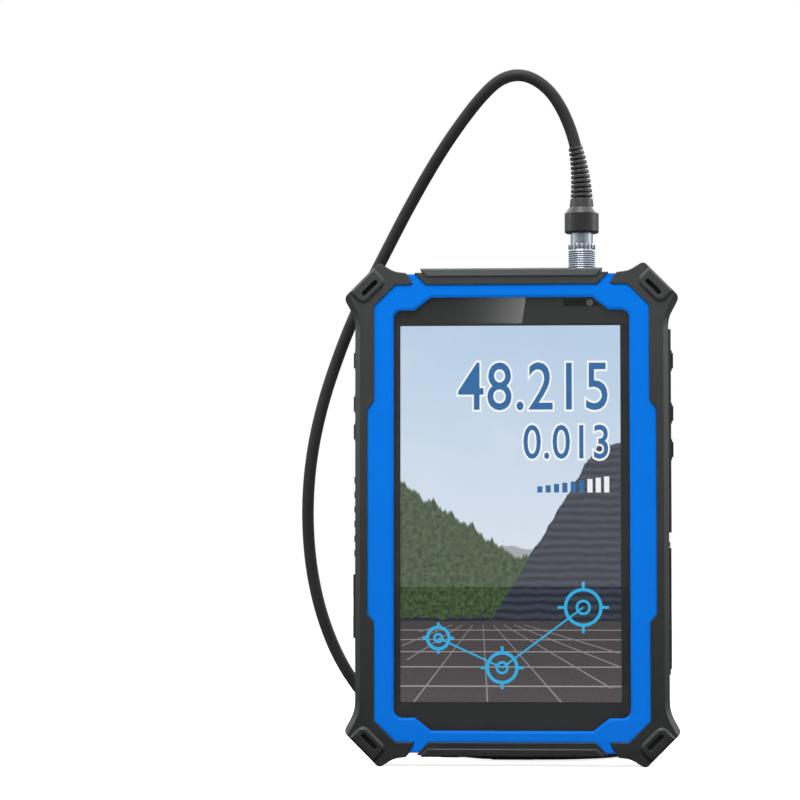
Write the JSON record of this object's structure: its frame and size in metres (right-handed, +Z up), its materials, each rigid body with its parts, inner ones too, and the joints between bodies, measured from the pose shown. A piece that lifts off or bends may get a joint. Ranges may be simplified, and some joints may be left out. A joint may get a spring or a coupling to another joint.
{
  "type": "data collector",
  "caption": "Rugged seven-inch field data collector tablet with blue face, rubber bumpers, side keys, hinged port doors and a plugged-in antenna lead.",
  "frame": {"origin": "middle of the footprint, on the surface that the tablet stands on; the lead and its plugs are left out of that middle", "axes": "+Z up along the tablet's height, the screen faces -Y, +X to the right as seen from the screen side"},
  "size_m": [0.1567, 0.1152, 0.2869],
  "materials": {
    "bumper_rubber": "moulded, matt",
    "face_blue": "satin painted plastic",
    "back_shell": "fine textured",
    "frame_metal": "cast, bead blasted",
    "clear_glass": "polished",
    "black_ink": "printed behind glass",
    "sensor_film": "dark film behind glass",
    "display": null,
    "seal_rubber": "soft seal",
    "key_rubber": "moulded, matt",
    "door_plastic": "moulded, matt",
    "black_plastic": "moulded",
    "nickel": "nickel plated, satin",
    "brass": "turned",
    "gold_contact": "gold plated",
    "steel": "plain",
    "circuit_board": "solder mask",
    "shield_tin": "tinned",
    "battery_wrap": "film wrapped",
    "white_insulator": "moulded",
    "lens_glass": "coated",
    "lamp_lens": "clear over phosphor",
    "cable_jacket": "smooth jacket",
    "boot_rubber": "moulded",
    "tie_strap": "hook and loop"
  },
  "bodies": {
    "tablet": {"right_bumper": "bumper_rubber", "left_bumper": "bumper_rubber", "top_strip": "bumper_rubber", "bottom_strip": "bumper_rubber", "dock_block": "black_plastic", "dock_contacts": "gold_contact", "front_bezel": "face_blue", "middle_frame": "frame_metal", "rear_housing": "back_shell", "case_screws": "steel", "mount_inserts": "brass", "cover_glass": "clear_glass", "ink_border": "black_ink", "sensor_window": "sensor_film", "glass_gasket": "seal_rubber", "display_panel": "display", "front_camera": "lens_glass", "main_board": "circuit_board", "receiver_board": "circuit_board", "board_screws": "steel", "board_shields": "shield_tin", "battery": "battery_wrap", "speaker": "black_plastic", "rear_camera": "black_plastic", "rear_camera_cover": "lens_glass", "flash_lamp": "lamp_lens", "usb_c_port": "steel", "hdmi_port": "steel", "audio_jack": "black_plastic", "card_slot": "steel", "port_boards": "circuit_board", "key_boards": "circuit_board", "key_switches": "steel", "hinge_pins": "steel", "socket_shell": "nickel", "socket_nut": "nickel", "socket_insert": "white_insulator", "plug_shell": "nickel", "plug_insert": "white_insulator", "plug_collar": "boot_rubber", "bend_relief": "boot_rubber", "lead_tube": "cable_jacket", "lead_coil": "cable_jacket", "coil_ties": "tie_strap", "lead_tail": "cable_jacket", "far_boot": "boot_rubber", "far_body": "nickel", "far_insert": "white_insulator"},
    "power_button": {"power_key": "key_rubber"},
    "volume_up": {"volume_up_key": "key_rubber"},
    "volume_down": {"volume_down_key": "key_rubber"},
    "function_1": {"function_key_1": "key_rubber"},
    "function_2": {"function_key_2": "key_rubber"},
    "function_3": {"function_key_3": "key_rubber"},
    "right_door": {"right_port_door": "door_plastic", "right_door_seal": "seal_rubber"},
    "left_door": {"left_port_door": "door_plastic", "left_door_seal": "seal_rubber"},
    "latch": {"latch_sleeve": "nickel"},
    "nut": {"coupling_nut": "nickel"}
  },
  "joints": [
    {"name": "power_press", "type": "slide", "parent": "tablet", "child": "power_button", "axis": [-1, 0, 0], "range_m": [0, 0.0006], "stiffness_N_per_m": 3000, "springref_m": -0.0002},
    {"name": "volume_up_press", "type": "slide", "parent": "tablet", "child": "volume_up", "axis": [-1, 0, 0], "range_m": [0, 0.0006], "stiffness_N_per_m": 3000, "springref_m": -0.0002},
    {"name": "volume_down_press", "type": "slide", "parent": "tablet", "child": "volume_down", "axis": [-1, 0, 0], "range_m": [0, 0.0006], "stiffness_N_per_m": 3000, "springref_m": -0.0002},
    {"name": "function_1_press", "type": "slide", "parent": "tablet", "child": "function_1", "axis": [1, 0, 0], "range_m": [0, 0.0006], "stiffness_N_per_m": 3000, "springref_m": -0.0002},
    {"name": "function_2_press", "type": "slide", "parent": "tablet", "child": "function_2", "axis": [1, 0, 0], "range_m": [0, 0.0006], "stiffness_N_per_m": 3000, "springref_m": -0.0002},
    {"name": "function_3_press", "type": "slide", "parent": "tablet", "child": "function_3", "axis": [1, 0, 0], "range_m": [0, 0.0006], "stiffness_N_per_m": 3000, "springref_m": -0.0002},
    {"name": "right_door_swing", "type": "hinge", "parent": "tablet", "child": "right_door", "pos_m": [0.0636, 0.0052, 0.064], "axis": [0, 0, 1], "range_deg": [0, 100]},
    {"name": "left_door_swing", "type": "hinge", "parent": "tablet", "child": "left_door", "pos_m": [-0.0636, 0.0052, 0.0649], "axis": [0, 0, -1], "range_deg": [0, 100]},
    {"name": "latch_pull", "type": "slide", "parent": "tablet", "child": "latch", "axis": [0, 0, 1], "range_m": [0, 0.0015], "stiffness_N_per_m": 1500, "springref_m": -0.0005},
    {"name": "nut_turn", "type": "hinge", "parent": "tablet", "child": "nut", "pos_m": [-0.052, 0.096, 0.0073], "axis": [1, 0, 0], "continuous": true}
  ]
}
